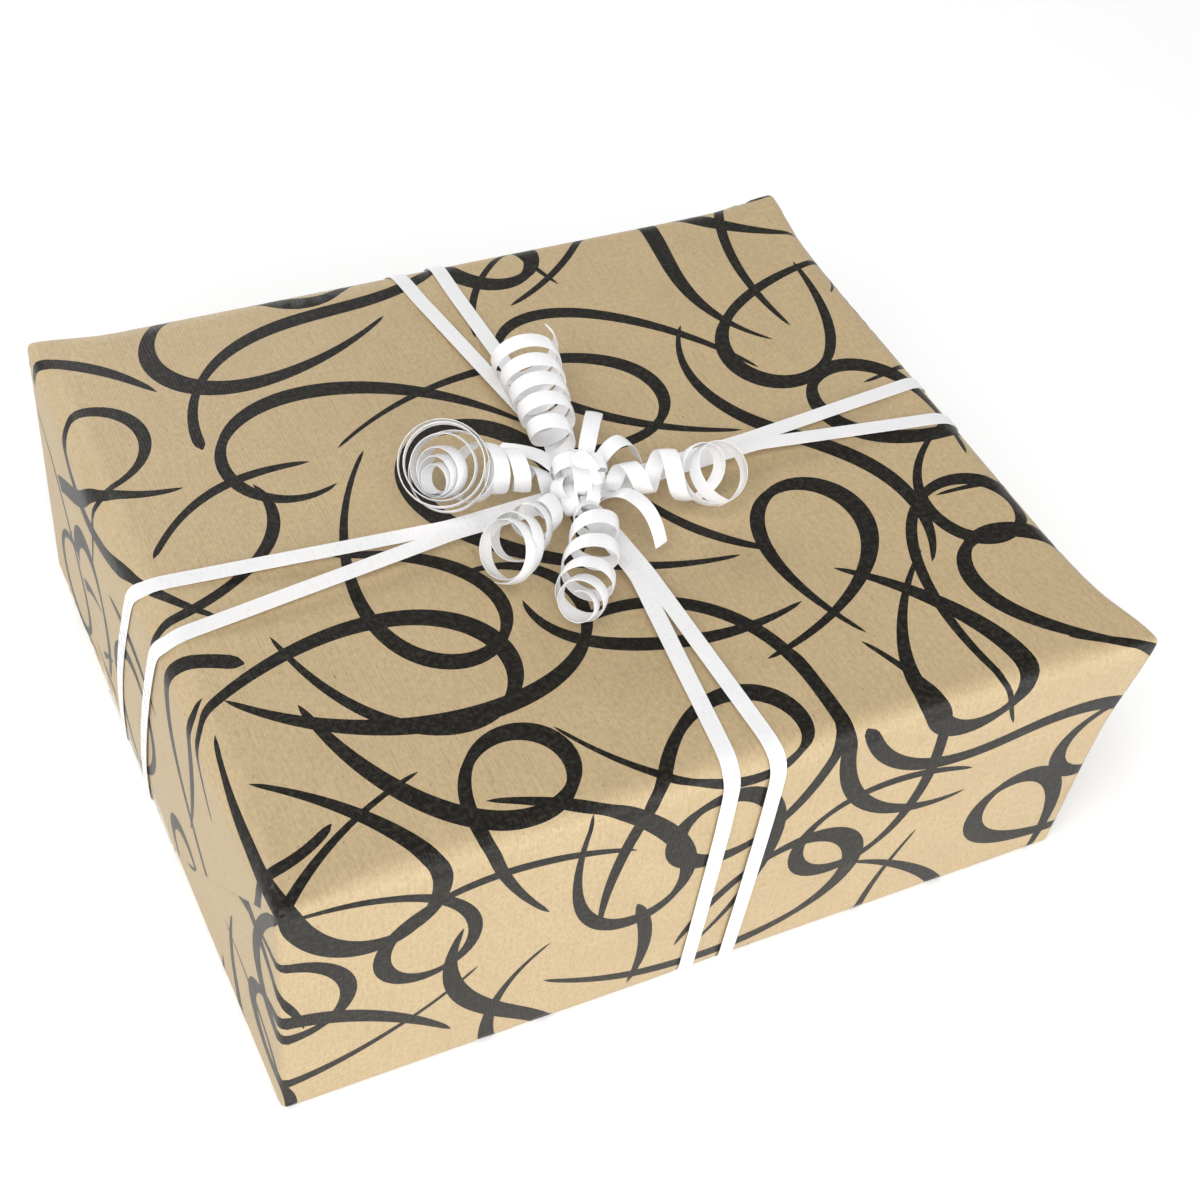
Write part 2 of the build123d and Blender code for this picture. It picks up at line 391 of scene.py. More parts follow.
def floor_material():
    """Plain pale floor, very faintly uneven."""
    shader = Shader("studio_floor")
    grain = shader.noise(shader.objects(), 3.0, 2.0)
    tone = shader.blend(shader.span(grain, 0.3, 0.7), (0.93, 0.93, 0.93), (0.945, 0.945, 0.945))
    shader.join(tone, shader.surface.inputs["Base Color"])
    shader.surface.inputs["Roughness"].default_value = 0.8
    return shader.material


# ---------------------------------------------------------------- the parcel's surface
def edge_radius(place, paper):
    """The paper's roundness: wide along the top edges, tighter at the upright and lower ones."""
    near_top = smooth(place.z, TOP - 14 * MM, TOP - paper.top_radius)
    from_corner = max(HALF.x - abs(place.x - MIDDLE.x), HALF.y - abs(place.y - MIDDLE.y))
    along_edge = smooth(from_corner, 1 * MM, 26 * MM)
    return paper.low_radius + (paper.top_radius - paper.low_radius) * near_top * along_edge


def swell(place, paper):
    """How far the paper stands out from the flat at a place on the box."""
    x = (place.x - MIDDLE.x) / HALF.x
    y = (place.y - MIDDLE.y) / HALF.y
    z = (place.z - MIDDLE.z) / HALF.z
    across = max(1 - y * y, 0.0)
    upright = max(1 - z * z, 0.0)
    along = max(1 - x * x, 0.0)
    end = smooth(abs(x), 0.97, 0.999) * paper.end_bulge * across * upright
    side = smooth(abs(y), 0.97, 0.999) * 0.9 * MM * along * upright
    ripple = noise.noise(place * 17.0) * 0.45 * MM + noise.noise(place * 48.0) * 0.12 * MM
    on_top = smooth(z, 0.9, 0.99)
    calm = (1 - 0.55 * on_top) * min(1.0, 4 * (across * along + across * upright + along * upright))
    return end + side + ripple * calm


# How far the paper stands out at the top corners, in millimetres: which corner, and how far
EARS = (((1, -1), 4.6), ((1, 1), 2.0), ((-1, 1), 0.3), ((-1, -1), 0.3))
EAR_SPREAD = 26 * MM


def ears(place):
    """Draws the paper out to a soft point at each top corner."""
    moved = Vector((0, 0, 0))
    for (sx, sy), reach in EARS:
        corner = Vector((MIDDLE.x + sx * HALF.x, MIDDLE.y + sy * HALF.y, TOP))
        near = math.exp(-(((place - corner).length / EAR_SPREAD) ** 2))
        moved += Vector((0.93 * sx, 0.30 * sy, 0.12)) * reach * MM * near
    return moved


def on_parcel(place, paper, lift=0.0):
    """Moves a place on the sharp-edged box to the rounded paper, lift above it, and gives its normal too."""
    radius = edge_radius(place, paper)
    inner = Vector(
        max(min(place[k] - MIDDLE[k], HALF[k] - radius), radius - HALF[k]) + MIDDLE[k] for k in range(3)
    )
    normal = (place - inner).normalized()
    at = inner + normal * (radius + lift + swell(place, paper)) + ears(place)
    at.z = max(at.z, PAPER_LOW.z - UNDER_ROOM)
    return at, normal


def tucked(hidden):
    """How a side flap sinks where the top flap covers it, by how far in it is covered."""
    return -TUCK_SINK * smooth(hidden, 0.0, 3 * MM)


def folded(u, v, paper):
    """Where a place on the flat sheet comes to lie.

    u runs along the parcel from its left end, and v round it: up the front, over the top, down the
    back and underneath. Past either end, u runs down the top flap or back along the side flaps.
    """
    front_edge = -HALF.y + MIDDLE.y
    back_edge = HALF.y + MIDDLE.y
    past = max(-u, u - LENGTH, 0.0)
    side = -1 if u < LENGTH / 2 else 1
    x = MIDDLE.x + (u - HALF.x if past == 0 else side * HALF.x)
    low = PAPER_LOW.z
    if v < 0:
        return on_parcel(Vector((x, front_edge - v, low)), paper)[0]
    if v <= HEIGHT:
        if past:
            return on_parcel(Vector((x, front_edge + past, low + v)), paper, tucked(past - (HEIGHT - v)))[0]
        return on_parcel(Vector((x, front_edge, low + v)), paper)[0]
    if v < HEIGHT + DEPTH:
        across = front_edge + v - HEIGHT
        if past:
            lift = paper.flap_lift * smooth(past, 0.0, 9 * MM)
            return on_parcel(Vector((x, across, TOP - past)), paper, lift)[0]
        return on_parcel(Vector((x, across, TOP)), paper)[0]
    if v <= 2 * HEIGHT + DEPTH:
        down = v - HEIGHT - DEPTH
        if past:
            return on_parcel(Vector((x, back_edge - past, TOP - down)), paper, tucked(past - down))[0]
        return on_parcel(Vector((x, back_edge, TOP - down)), paper)[0]
    under = v - 2 * HEIGHT - DEPTH
    lift = 0.25 * MM * smooth(under, DEPTH / 2 - 40 * MM, DEPTH / 2 - 10 * MM)
    return on_parcel(Vector((x, back_edge - under, low)), paper, lift)[0]


# ---------------------------------------------------------------- printed strokes
def pen_stroke(rng, start, widest):
    """One calligraphic stroke: its middle line and half widths, from a rule for how it turns."""
    kind = rng.choices(("loop", "ess", "hook", "flick"), weights=(14, 3, 2, 1))[0]
    turn = rng.choice((-1, 1))
    low, high, place, spread = {
        "loop": (1 / 105, 1 / rng.uniform(12, 19), rng.uniform(0.35, 0.65), rng.uniform(0.14, 0.20)),
        "ess": (1 / 60, 1 / rng.uniform(24, 36), 0.5, 0.3),
        "hook": (1 / 85, 1 / rng.uniform(14, 24), rng.uniform(0.80, 0.95), rng.uniform(0.18, 0.3)),
        "flick": (1 / 120, 1 / rng.uniform(40, 70), 0.5, 0.4),
    }[kind]
    length = {
        "loop": rng.uniform(165, 245), "ess": rng.uniform(110, 190),
        "hook": rng.uniform(90, 170), "flick": rng.uniform(45, 85),
    }[kind]
    broad = widest / MM * rng.uniform(0.62, 1.0) * (0.55 if kind == "flick" else 1.0)
    slope = rng.uniform(0.7, 1.5)
    blunt = rng.random() < 0.3 and kind != "loop"
    pen = math.radians(rng.uniform(25, 60))
    heading = rng.uniform(0, 2 * math.pi)
    step = 2.0
    count = int(length / step)
    x = y = 0.0
    line = []
    for k in range(count + 1):
        s = k / count
        bend = low + (high - low) * math.exp(-(((s - place) / spread) ** 2))
        if kind == "ess":
            bend *= math.cos(math.pi * s) * 1.3
        pressure = math.sin(math.pi * s**slope) ** 0.8 if 0 < s < 1 else 0.0
        if blunt and s < 0.45:
            pressure = max(pressure, 0.75)
        slant = 0.38 + 0.62 * abs(math.sin(heading - pen))
        tip = min(1.0, 0.15 + 4 * min(s, 1 - s) * length / 12)
        line.append((x, y, heading, (0.55 + broad * pressure * slant) * tip))
        heading += turn * bend * step
        x += math.cos(heading) * step
        y += math.sin(heading) * step
    middle_x = sum(p[0] for p in line) / len(line)
    middle_y = sum(p[1] for p in line) / len(line)
    return [
        (start[0] + (px - middle_x) * MM, start[1] + (py - middle_y) * MM, angle, half * MM)
        for px, py, angle, half in line
    ]


def square(x, y):
    return int(x // COUNTING_SQUARE), int(y // COUNTING_SQUARE)


def crowding(stroke, taken):
    """How much of a stroke runs close beside strokes already laid."""
    return sum(taken.get(square(x, y), 0) ** 2 for x, y, _, _ in stroke) / len(stroke)


def print_layout(settings, low, high):
    """Every stroke on the sheet: one to a cell, the least crowded of several tries."""
    rng = random.Random(settings.seed)
    columns = int((high[0] - low[0]) / settings.cell)
    rows = int((high[1] - low[1]) / settings.cell)
    taken = {}
    strokes = []
    for i in range(columns + 1):
        for j in range(rows + 1):
            stagger = 0.5 if j % 2 else 0.0
            tries = []
            for _ in range(settings.tries):
                place = (
                    low[0] + (i + stagger + rng.uniform(-0.35, 0.35)) * settings.cell,
                    low[1] + (j + rng.uniform(-0.35, 0.35)) * settings.cell,
                )
                tries.append(pen_stroke(rng, place, settings.widest))
            best = min(tries, key=lambda stroke: crowding(stroke, taken))
            strokes.append(best)
            for x, y, _, _ in best:
                column, row = square(x, y)
                for beside in (-1, 0, 1):
                    for above in (-1, 0, 1):
                        key = (column + beside, row + above)
                        taken[key] = taken.get(key, 0) + 1
    return strokes


# ---------------------------------------------------------------- the sheet
def spaced(stops, coarse, fine, reach):
    """Grid lines from the first stop to the last: fine within reach of each stop, coarse elsewhere."""
    lines = []
    for a, b in zip(stops, stops[1:]):
        near = min(reach, (b - a) / 2)
        lines += list(np.arange(a, a + near, fine))
        far = np.linspace(a + near, b - near, max(int((b - a - 2 * near) / coarse), 1) + 1)
        lines += list(far[:-1])
        lines += list(np.arange(b - near, b, fine))
    return lines + [stops[-1]]


def sheet_regions(paper):
    """The sheet's outline as plain polygons in its own flat plane: the body, and six flaps."""
    seam = DEPTH / 2 + SEAM_FROM_MIDDLE
    start = -seam
    end = 2 * HEIGHT + 2 * DEPTH - seam + paper.seam_overlap
    foot = HEIGHT - FOOT_GAP
    back = HEIGHT + DEPTH
    regions = [[(0, start), (LENGTH, start), (LENGTH, end), (0, end)]]
    for edge, out in ((0, -1), (LENGTH, 1)):
        near, far, down = edge + out * SIDE_TUCK, edge + out * (HEIGHT + SIDE_TUCK), edge + out * foot
        regions.append([(edge, 0), (edge, HEIGHT), (near, HEIGHT), (far, 0)])
        regions.append([(edge, HEIGHT), (edge, back), (down, back - foot), (down, HEIGHT + foot)])
        regions.append([(edge, back), (edge, back + HEIGHT), (far, back + HEIGHT), (near, back)])
    return regions, start, end


def divided(polygon, step):
    """The polygon's outline with points about every step along it."""
    points = []
    for a, b in zip(polygon, polygon[1:] + polygon[:1]):
        count = max(int(math.dist(a, b) / step), 1)
        points += [(a[0] + (b[0] - a[0]) * k / count, a[1] + (b[1] - a[1]) * k / count) for k in range(count)]
    return points


def counterclockwise(polygon):
    """The polygon with its corners in the order that keeps its inside on the left."""
    turned = sum(a[0] * b[1] - b[0] * a[1] for a, b in zip(polygon, polygon[1:] + polygon[:1]))
    return polygon if turned > 0 else polygon[::-1]


def inside(polygon, x, y):
    """Whether the place is in the polygon."""
    hit = False
    for (ax, ay), (bx, by) in zip(polygon, polygon[1:] + polygon[:1]):
        if (ay > y) != (by > y) and x < (bx - ax) * (y - ay) / (by - ay) + ax:
            hit = not hit
    return hit


def flat_sheet(paper, strokes):
    """Triangles of the flat sheet whose edges follow the printed strokes, and which of them are ink."""
    regions, start, end = sheet_regions(paper)
    points = []
    faces = []
    for region in regions:
        outline = counterclockwise(divided(region, 3 * MM))
        faces.append(list(range(len(points), len(points) + len(outline))))
        points += outline
    sheet_faces = len(faces)
    chunk = 5
    for stroke in strokes:
        left = [(x - math.sin(a) * h, y + math.cos(a) * h) for x, y, a, h in stroke]
        right = [(x + math.sin(a) * h, y - math.cos(a) * h) for x, y, a, h in stroke]
        for k in range(0, len(stroke) - 1, chunk):
            last = min(k + chunk, len(stroke) - 1)
            outline = counterclockwise(right[k:last + 1] + left[k:last + 1][::-1])
            faces.append(list(range(len(points), len(points) + len(outline))))
            points += outline
    fine = 1.3 * MM
    reach = 9 * MM
    columns = spaced([-HEIGHT - SIDE_TUCK, 0, LENGTH, LENGTH + HEIGHT + SIDE_TUCK], 6 * MM, fine, reach)
    rows = spaced([start, 0, HEIGHT, HEIGHT + DEPTH, 2 * HEIGHT + DEPTH, end], 6 * MM, fine, reach)
    for x in columns:
        for y in rows:
            if any(inside(region, x, y) for region in regions):
                points.append((x, y))
    places, _, triangles, _, _, origins = delaunay_2d_cdt(
        [Vector(p) for p in points], [], faces, 0, 1e-7, True,
    )
    kept, inked = [], []
    for triangle, origin in zip(triangles, origins):
        if any(face < sheet_faces for face in origin):
            kept.append(triangle)
            inked.append(any(face >= sheet_faces for face in origin))
    return places, kept, filled(places, kept, inked)


def filled(places, triangles, inked):
    """Inks the specks of bare paper that are left where strokes close up on themselves."""
    beside = {}
    for number, triangle in enumerate(triangles):
        for a, b in zip(triangle, (*triangle[1:], triangle[0])):
            beside.setdefault((min(a, b), max(a, b)), []).append(number)
    links = {}
    for pair in beside.values():
        if len(pair) == 2 and not inked[pair[0]] and not inked[pair[1]]:
            links.setdefault(pair[0], []).append(pair[1])
            links.setdefault(pair[1], []).append(pair[0])
    inked = list(inked)
    seen = set()
    for number in range(len(triangles)):
        if inked[number] or number in seen:
            continue
        patch, queue = [], [number]
        seen.add(number)
        while queue:
            here = queue.pop()
            patch.append(here)
            for there in links.get(here, ()):
                if there not in seen:
                    seen.add(there)
                    queue.append(there)
        area = 0.0
        for here in patch:
            a, b, c = (places[k] for k in triangles[here])
            area += abs((b - a).cross(c - a)) / 2
        if area < SMALLEST_BARE:
            for here in patch:
                inked[here] = True
    return inked


def build_paper(scene):
    """The sheet: printed while flat, folded round the parcel and given its thickness."""
    paper, print_settings = scene.gift_paper, scene.gift_print
    _, start, end = sheet_regions(paper)
    reach = HEIGHT + SIDE_TUCK
    strokes = print_layout(print_settings, (-reach, start), (LENGTH + reach, end))
    places, triangles, inked = flat_sheet(paper, strokes)
    used = sorted({k for triangle in triangles for k in triangle})
    order = {old: new for new, old in enumerate(used)}
    mesh = bpy.data.meshes.new("wrapping")
    mesh.from_pydata(
        [folded(places[k].x, places[k].y, paper) for k in used], [],
        [[order[k] for k in triangle] for triangle in triangles],
    )
    mesh.polygons.foreach_set("material_index", [int(ink) for ink in inked])
    layer = mesh.uv_layers.new(name="UVMap")
    flat = [places[used[loop.vertex_index]] for loop in mesh.loops]
    layer.data.foreach_set("uv", [c for place in flat for c in (place.x, place.y)])
    obj = new_piece("wrapping", mesh, [kraft_material(paper.kraft_colour), ink_material(paper.ink_colour)])
    facing = mesh.polygons[len(mesh.polygons) // 2]
    if facing.normal.dot(facing.center - MIDDLE) < 0:
        mesh.flip_normals()
    solid = obj.modifiers.new("thickness", "SOLIDIFY")
    solid.thickness = paper.thickness
    solid.offset = -1
    applied(obj)
    shade_smooth(obj)
    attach(obj, "parcel")
    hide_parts("wrapping_paper")


# ---------------------------------------------------------------- ribbon strips
def strip_tree():
    """A node tree that lays a flat strip along a path whose points carry the way the strip faces."""
    tree = bpy.data.node_groups.new("Ribbon Strip", "GeometryNodeTree")
    face = tree.interface
    face.new_socket("Geometry", in_out="INPUT", socket_type="NodeSocketGeometry")
    width = face.new_socket("Width", in_out="INPUT", socket_type="NodeSocketFloat")
    cup = face.new_socket("Cup", in_out="INPUT", socket_type="NodeSocketFloat")
    rows = face.new_socket("Rows", in_out="INPUT", socket_type="NodeSocketInt")
    material = face.new_socket("Material", in_out="INPUT", socket_type="NodeSocketMaterial")
    face.new_socket("Geometry", in_out="OUTPUT", socket_type="NodeSocketGeometry")
    nodes, links = tree.nodes, tree.links
    entry = nodes.new("NodeGroupInput")
    leave = nodes.new("NodeGroupOutput")

    def math_node(operation, first, second):
        made = nodes.new("ShaderNodeMath")
        made.operation = operation
        for socket, value in zip(made.inputs, (first, second)):
            if isinstance(value, (int, float)):
                socket.default_value = value
            else:
                links.new(value, socket)
        return made.outputs[0]

    def sampled(data_type, value, index):
        made = nodes.new("GeometryNodeSampleIndex")
        made.data_type = data_type
        made.domain = "POINT"
        links.new(entry.outputs["Geometry"], made.inputs["Geometry"])
        links.new(value, made.inputs["Value"])
        links.new(index, made.inputs["Index"])
        return made.outputs["Value"]

    def carried(name, data_type):
        made = nodes.new("GeometryNodeInputNamedAttribute")
        made.data_type = data_type
        made.inputs["Name"].default_value = name
        return made.outputs["Attribute"]

    def scaled(vector, amount):
        made = nodes.new("ShaderNodeVectorMath")
        made.operation = "SCALE"
        links.new(vector, made.inputs[0])
        links.new(amount, made.inputs["Scale"])
        return made.outputs[0]

    def added(first, second):
        made = nodes.new("ShaderNodeVectorMath")
        made.operation = "ADD"
        links.new(first, made.inputs[0])
        links.new(second, made.inputs[1])
        return made.outputs[0]

    size = nodes.new("GeometryNodeAttributeDomainSize")
    links.new(entry.outputs["Geometry"], size.inputs["Geometry"])
    grid = nodes.new("GeometryNodeMeshGrid")
    links.new(size.outputs["Point Count"], grid.inputs["Vertices X"])
    links.new(entry.outputs["Rows"], grid.inputs["Vertices Y"])
    index = nodes.new("GeometryNodeInputIndex").outputs[0]
    station = math_node("FLOOR", math_node("DIVIDE", index, entry.outputs["Rows"]), 0.0)
    row = math_node("MODULO", index, entry.outputs["Rows"])
    last_row = math_node("SUBTRACT", entry.outputs["Rows"], 1.0)
    off_middle = math_node("SUBTRACT", math_node("DIVIDE", row, last_row), 0.5)
    position = nodes.new("GeometryNodeInputPosition").outputs[0]
    centre = sampled("FLOAT_VECTOR", position, station)
    across = sampled("FLOAT_VECTOR", carried("across", "FLOAT_VECTOR"), station)
    facing = sampled("FLOAT_VECTOR", carried("facing", "FLOAT_VECTOR"), station)
    run = sampled("FLOAT", carried("run", "FLOAT"), station)
    breadth = sampled("FLOAT", carried("breadth", "FLOAT"), station)
    offset = math_node("MULTIPLY", math_node("MULTIPLY", off_middle, breadth), entry.outputs["Width"])
    dip = math_node("MULTIPLY", math_node("MULTIPLY", off_middle, off_middle), 4.0)
    hollow = math_node("MULTIPLY", dip, entry.outputs["Cup"])
    moved = nodes.new("GeometryNodeSetPosition")
    links.new(grid.outputs["Mesh"], moved.inputs["Geometry"])
    links.new(added(added(centre, scaled(across, offset)), scaled(facing, hollow)), moved.inputs["Position"])
    flat = nodes.new("ShaderNodeCombineXYZ")
    links.new(run, flat.inputs["X"])
    links.new(offset, flat.inputs["Y"])
    mapped = nodes.new("GeometryNodeStoreNamedAttribute")
    mapped.data_type = "FLOAT2"
    mapped.domain = "CORNER"
    mapped.inputs["Name"].default_value = "UVMap"
    links.new(moved.outputs["Geometry"], mapped.inputs["Geometry"])
    links.new(flat.outputs[0], mapped.inputs["Value"])
    real = nodes.new("GeometryNodeRealizeInstances")
    links.new(mapped.outputs["Geometry"], real.inputs["Geometry"])
    finish = nodes.new("GeometryNodeSetMaterial")
    links.new(real.outputs["Geometry"], finish.inputs["Geometry"])
    links.new(entry.outputs["Material"], finish.inputs["Material"])
    links.new(finish.outputs["Geometry"], leave.inputs[0])
    inputs = {"width": width, "cup": cup, "rows": rows, "material": material}
    return tree, {name: socket.identifier for name, socket in inputs.items()}


_trees = {}


def strip(name, centres, facings, width, thickness, material, cup=0.0, rows=5, breadths=None):
    """A ribbon whose middle follows the centres and whose flat side faces along the facings."""
    if "strip" not in _trees:
        _trees["strip"] = strip_tree()
    tree, sockets = _trees["strip"]
    centres = [Vector(c) for c in centres]
    count = len(centres)
    mesh = bpy.data.meshes.new(name)
    mesh.from_pydata(centres, [(k, k + 1) for k in range(count - 1)], [])
    across, facing, run = [], [], []
    length = 0.0
    for k, place in enumerate(centres):
        along = (centres[min(k + 1, count - 1)] - centres[max(k - 1, 0)]).normalized()
        side = along.cross(facings[k]).normalized()
        across.append(side)
        facing.append(side.cross(along).normalized())
        length += (place - centres[k - 1]).length if k else 0.0
        run.append(length)
    for label, kind, values in (
        ("across", "FLOAT_VECTOR", across), ("facing", "FLOAT_VECTOR", facing),
        ("run", "FLOAT", run), ("breadth", "FLOAT", breadths or [1.0] * count),
    ):
        layer = mesh.attributes.new(label, kind, "POINT")
        if kind == "FLOAT":
            layer.data.foreach_set("value", values)
        else:
            layer.data.foreach_set("vector", [c for vector in values for c in vector])
    obj = new_piece(name, mesh, [])
    modifier = obj.modifiers.new("strip", "NODES")
    modifier.node_group = tree
    for label, value in (("width", width), ("cup", cup), ("rows", rows), ("material", material)):
        modifier[sockets[label]] = value
    solid = obj.modifiers.new("thickness", "SOLIDIFY")
    solid.thickness = thickness
    solid.offset = 0
    applied(obj)
    shade_smooth(obj)
    return obj


def joined(name, pieces):
    """One object from several strips."""
    bpy.ops.object.select_all(action="DESELECT")
    for piece in pieces:
        piece.select_set(True)
    bpy.context.view_layer.objects.active = pieces[0]
    bpy.ops.object.join()
    pieces[0].name = name
    pieces[0].data.name = name
    return pieces[0]


# ---------------------------------------------------------------- taut strands
# Plan of each strand in millimetres: folds at its two ends, where it closes up with its neighbour,
# and where it goes into the knot. The feet are where it turns under the parcel.
LONG_STRANDS = {
    "ribbon_long_way_rear": {
        "folds": (2.6, 8.7), "feet": (31.0, 10.0), "gathers": ((-42, -7.6), (60, -1.4)), "knot": -7.4,
    },
    "ribbon_long_way_front": {
        "folds": (-18.9, -10.4), "feet": (6.0, -12.0), "gathers": ((-42, -10.6), (60, -4.6)), "knot": -10.6,
    },
}
SHORT_STRANDS = {
    "ribbon_short_way_left": {
        "folds": (-5.0, -11.3), "feet": (-4.0, -12.0), "gathers": ((-43, 0.4), (16, 0.6)), "knot": -4.4,
    },
    "ribbon_short_way_right": {
        "folds": (9.0, 2.6), "feet": (9.6, 3.0), "gathers": ((-43, 3.4), (16, 3.4)), "knot": -1.4,
    },
}


def box_line(start, end, step=1.6 * MM):
    """Even points from start to end."""
    count = max(int((end - start).length / step), 1)
    return [start.lerp(end, k / count) for k in range(count)]


def strand_path(plan, turned, paper, rise, above):
    """The strand's middle line and normals, from one side of the knot round the parcel to the other."""

    def place(along, across, z):
        if turned:
            return Vector((across * MM, along, z))
        return Vector((along, across * MM, z))

    half = HALF.y if turned else HALF.x
    if turned:
        knot_near, knot_far = KNOT_LOW.y + 2 * MM, KNOT_HIGH.y - 2 * MM
    else:
        knot_near, knot_far = KNOT_LOW.x + 2 * MM, KNOT_HIGH.x - 2 * MM
    first, last = plan["folds"]
    first_foot, last_foot = plan["feet"]
    (first_gather, first_at), (last_gather, last_at) = plan["gathers"]
    low = PAPER_LOW.z
    corners = [
        place(knot_near, plan["knot"], TOP), place(first_gather * MM, first_at, TOP),
        place(-half, first, TOP),
        place(-half, first_foot, low), place(half, last_foot, low),
        place(half, last, TOP), place(last_gather * MM, last_at, TOP), place(knot_far, plan["knot"], TOP),
    ]
    route = []
    for a, b in zip(corners, corners[1:]):
        route += box_line(a, b)
    route.append(corners[-1])
    centres, normals = [], []
    for spot in route:
        along = spot.y if turned else spot.x
        near = knot_near if along < (knot_near + knot_far) / 2 else knot_far
        reach = half - paper.top_radius
        from_knot = min(abs(along - near) / abs(reach - abs(near)), 1.0)
        lift = above
        if spot.z > TOP - 0.1 * MM:
            lift += rise * (1 - from_knot)
        elif not turned:
            lift += paper.flap_lift + 0.25 * MM
        at, normal = on_parcel(spot, paper, lift)
        centres.append(at)
        normals.append(normal)
    return centres, normals


def relaxed(points, rounds):
    """Evens out small corners in a line of points, with its ends held."""
    points = [Vector(p) for p in points]
    for _ in range(rounds):
        points = [points[0]] + [
            (a + 2 * b + c) / 4 for a, b, c in zip(points, points[1:], points[2:])
        ] + [points[-1]]
    return points


def build_strands(scene):
    """The four taut strands, each a little above the one that it crosses."""
    ribbon = scene.gift_ribbon
    film = ribbon_film(ribbon)
    order = [(name, plan, False) for name, plan in LONG_STRANDS.items()]
    order += [(name, plan, True) for name, plan in SHORT_STRANDS.items()]
    for number, (name, plan, turned) in enumerate(order):
        above = (0.20 + 0.22 * number) * MM
        centres, normals = strand_path(plan, turned, scene.gift_paper, ribbon.rise, above)
        centres = relaxed(centres, 3)
        obj = strip(
            name.replace("ribbon", "strand"), centres, normals, ribbon.width, ribbon.thickness, film, rows=3,
        )
        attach(obj, "parcel")
        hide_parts(name)


# ---------------------------------------------------------------- tapes
def tape_patch(name, rows, columns, placed, node, film):
    """A thin patch of film over a grid of places."""
    mesh = bpy.data.meshes.new(name)
    vertices = [placed(i / rows, j / columns) for i in range(rows + 1) for j in range(columns + 1)]
    faces = [
        (k, k + columns + 1, k + columns + 2, k + 1)
        for k in (i * (columns + 1) + j for i in range(rows) for j in range(columns))
    ]
    mesh.from_pydata(vertices, [], faces)
    layer = mesh.uv_layers.new(name="UVMap")
    for loop, data in zip(mesh.loops, layer.data):
        k = loop.vertex_index
        data.uv = (k % (columns + 1) / columns * TAPE_LENGTH, k // (columns + 1) / rows * TAPE_WIDTH)
    obj = new_piece(name, mesh, [film])
    facing = mesh.polygons[0]
    if facing.normal.dot(facing.center - MIDDLE) < 0:
        mesh.flip_normals()
    solid = obj.modifiers.new("thickness", "SOLIDIFY")
    solid.thickness = 0.05 * MM
    solid.offset = 1
    applied(obj)
    shade_smooth(obj)
    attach(obj, "parcel")
    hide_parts(node)


def build_tapes(scene):
    """The strips at the foot of the two ends and the strips across the seam underneath."""
    paper = scene.gift_paper
    film = tape_material()
    under = 5 * MM
    for node in ("end_tape_left", "end_tape_right"):
        low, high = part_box(node)
        side = -1 if node.endswith("left") else 1
        up = high[2] - PAPER_LOW.z

        def placed(down, along, low=low, high=high, side=side, up=up):
            run = (up + under) * down
            y = low[1] + (high[1] - low[1]) * along
            if run < up:
                spot = Vector((MIDDLE.x + side * HALF.x, y, PAPER_LOW.z + up - run))
            else:
                spot = Vector((MIDDLE.x + side * (HALF.x - (run - up)), y, PAPER_LOW.z))
            return on_parcel(spot, paper, paper.flap_lift + 0.10 * MM)[0]

        tape_patch(node.replace("end_tape", "foot_tape"), 22, 40, placed, node, film)
    for node in ("seam_tape_left", "seam_tape_middle", "seam_tape_right"):
        low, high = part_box(node)

        def placed(across, along, low=low, high=high):
            x = low[0] + (high[0] - low[0]) * across
            y = low[1] + (high[1] - low[1]) * along
            return on_parcel(Vector((x, y, PAPER_LOW.z)), paper, UNDER_ROOM)[0]

        tape_patch(node.replace("seam_tape", "under_tape"), 8, 28, placed, node, film)


